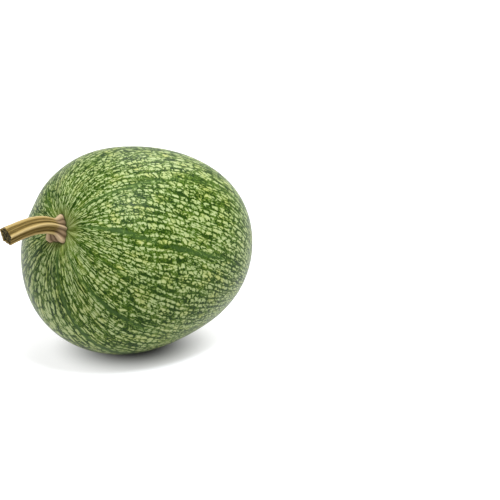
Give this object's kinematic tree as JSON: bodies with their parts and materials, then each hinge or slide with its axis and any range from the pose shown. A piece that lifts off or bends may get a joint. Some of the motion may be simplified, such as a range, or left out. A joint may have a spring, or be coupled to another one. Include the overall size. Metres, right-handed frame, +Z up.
{
  "type": "fig-leaf gourd",
  "caption": "Whole mottled green gourd lying on its side on a small flat, oblong and a little uneven, with its dried, ridged, cut stem.",
  "frame": {"origin": "middle of the small flat on the underside, on which the gourd rests", "axes": "+Z up, out of the surface that it lies on; +X along the fruit's long axis, away from the stem, so that the stem points to -X; +Y to the fruit's left side, seen from the stem"},
  "size_m": [0.2764, 0.1912, 0.1974],
  "materials": {
    "rind": "waxy satin rind, deep green ground with dense pale yellow-green mottling",
    "bark": "dry, matte, straw-brown, ridged, dark at the cut"
  },
  "bodies": {
    "root": {"gourd": "rind", "stem": "bark"}
  },
  "joints": []
}
